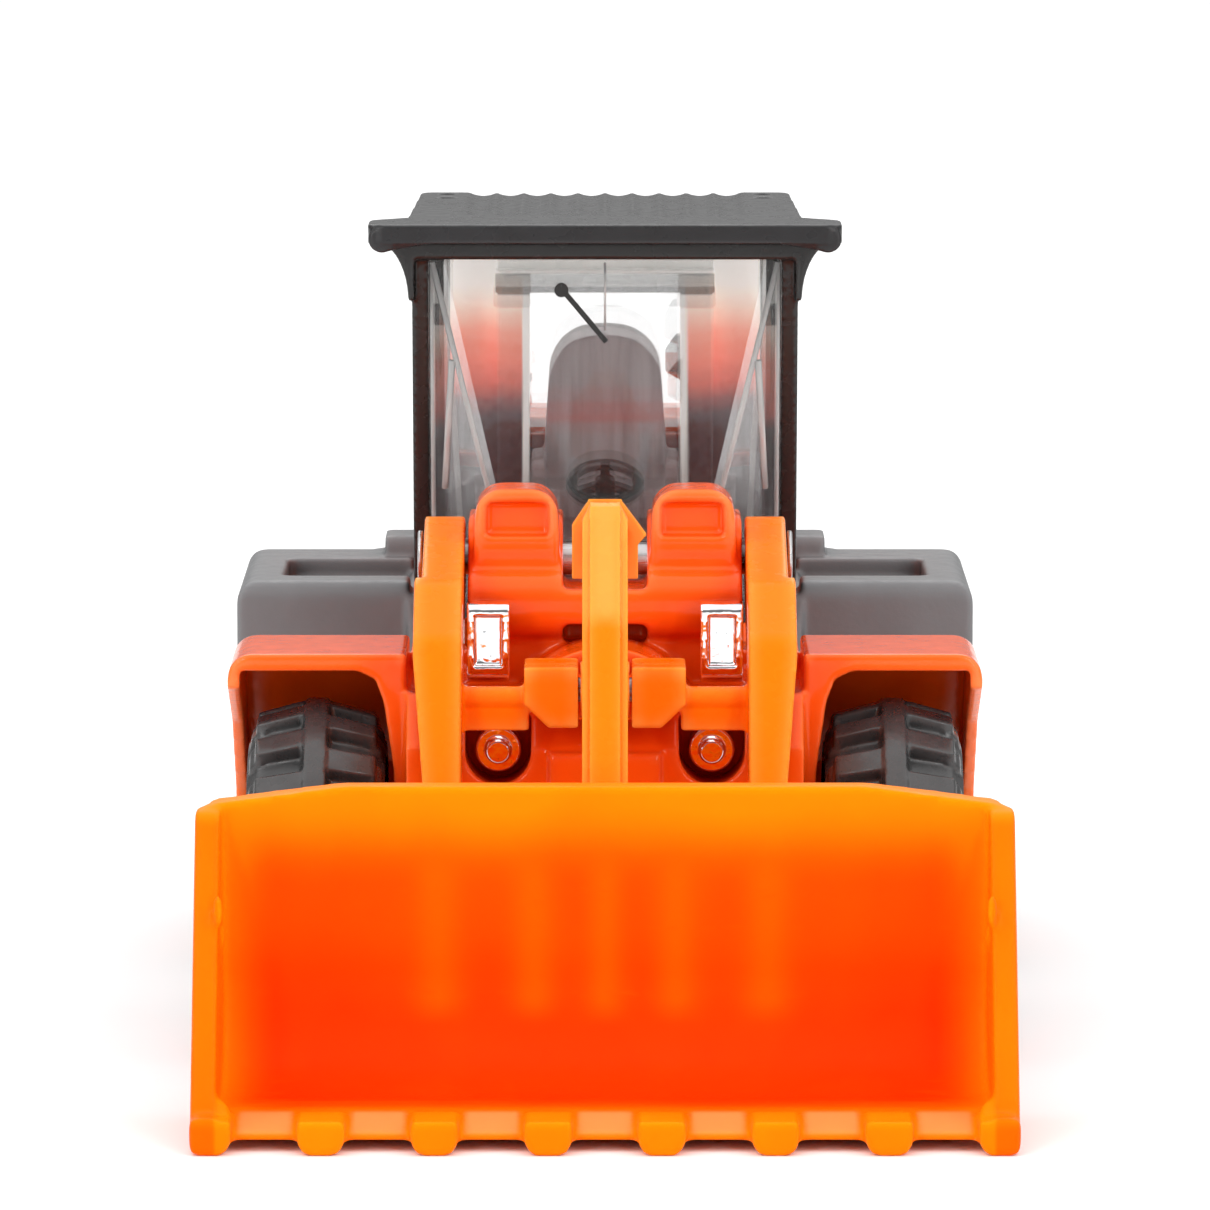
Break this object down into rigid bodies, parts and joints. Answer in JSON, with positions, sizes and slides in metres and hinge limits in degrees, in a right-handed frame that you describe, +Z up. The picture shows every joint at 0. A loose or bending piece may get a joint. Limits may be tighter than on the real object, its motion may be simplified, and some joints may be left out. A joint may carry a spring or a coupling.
{
  "type": "toy wheel loader",
  "caption": "Die-cast toy wheel loader with a steering frame, free-rolling wheels, a lift arm and a bucket tilted by a lever and link.",
  "frame": {"origin": "on the ground, under the middle of the toy's length and width", "axes": "+X across the toy towards its left wheels, -Y towards the bucket, +Z up"},
  "size_m": [0.0326, 0.076, 0.034],
  "materials": {
    "body_paint": "glossy orange enamel on a zinc casting",
    "hub_paint": "glossy orange",
    "orange_plastic": "slightly see-through moulded plastic",
    "grey_plastic": "satin moulded plastic",
    "black_plastic": "glossy moulded plastic",
    "roof_plastic": "satin-gloss moulded plastic",
    "cab_lining": "moulded plastic",
    "seat_plastic": "moulded plastic",
    "clear_glazing": "clear moulded plastic",
    "chrome_plating": "vacuum plated",
    "steel_pin": "plain wire",
    "tyre_plastic": "moulded tread",
    "tail_lamp_red": "tampo-printed red"
  },
  "bodies": {
    "rear_frame": {"rear_chassis": "grey_plastic", "rear_base": "grey_plastic", "rear_body": "body_paint", "counterweight": "grey_plastic", "rear_grille": "black_plastic", "hood_vent_left": "black_plastic", "hood_vent_right": "black_plastic", "tail_lamps": "tail_lamp_red", "kingpin": "steel_pin", "rear_base_screws": "steel_pin", "cab_frame": "black_plastic", "cab_glass": "clear_glazing", "cab_roof": "roof_plastic", "cab_bulkhead": "cab_lining", "driver_seat": "seat_plastic", "steering_wheel": "black_plastic", "windscreen_wiper": "black_plastic", "exhaust_stack": "chrome_plating", "air_precleaner": "black_plastic"},
    "front_frame": {"front_frame": "body_paint", "front_base": "grey_plastic", "headlight_left": "chrome_plating", "headlight_right": "chrome_plating", "lift_rams": "chrome_plating", "lift_pin": "steel_pin", "front_base_screw": "steel_pin"},
    "lift_arm": {"lift_arm": "orange_plastic", "lever_pin": "steel_pin"},
    "tilt_lever": {"tilt_lever": "orange_plastic", "link_top_pin": "steel_pin"},
    "tilt_link": {"tilt_link": "orange_plastic"},
    "bucket": {"bucket": "orange_plastic", "bucket_pins": "steel_pin", "link_bottom_pin": "steel_pin"},
    "front_wheels": {"front_axle": "steel_pin", "front_hub_left": "hub_paint", "front_hub_right": "hub_paint", "front_tyre_left": "tyre_plastic", "front_tyre_right": "tyre_plastic"},
    "rear_wheels": {"rear_axle": "steel_pin", "rear_hub_left": "hub_paint", "rear_hub_right": "hub_paint", "rear_tyre_left": "tyre_plastic", "rear_tyre_right": "tyre_plastic"}
  },
  "joints": [
    {"name": "articulation", "type": "hinge", "parent": "rear_frame", "child": "front_frame", "pos_m": [0, 0.0015, 0.0081], "axis": [0, 0, 1], "range_deg": [-30, 30]},
    {"name": "arm_lift", "type": "hinge", "parent": "front_frame", "child": "lift_arm", "pos_m": [0, -0.0085, 0.0203], "axis": [-1, 0, 0], "range_deg": [0, 60]},
    {"name": "bucket_tilt", "type": "hinge", "parent": "lift_arm", "child": "bucket", "pos_m": [0, -0.026, 0.0044], "axis": [-1, 0, 0], "range_deg": [-50, 25]},
    {"name": "lever_pivot", "type": "hinge", "parent": "lift_arm", "child": "tilt_lever", "pos_m": [0, -0.0189, 0.016], "axis": [-1, 0, 0], "range_deg": [-50, 25]},
    {"name": "link_pivot", "type": "hinge", "parent": "tilt_lever", "child": "tilt_link", "pos_m": [0, -0.0205, 0.0226], "axis": [-1, 0, 0], "range_deg": [-25, 50]},
    {"name": "front_axle_spin", "type": "hinge", "parent": "front_frame", "child": "front_wheels", "pos_m": [0, -0.0125, 0.0074], "axis": [-1, 0, 0], "continuous": true},
    {"name": "rear_axle_spin", "type": "hinge", "parent": "rear_frame", "child": "rear_wheels", "pos_m": [0, 0.0175, 0.0074], "axis": [-1, 0, 0], "continuous": true}
  ],
  "couplings": [
    {"joint": "lever_pivot", "follows": "bucket_tilt", "ratio": 1},
    {"joint": "link_pivot", "follows": "bucket_tilt", "ratio": -1}
  ]
}
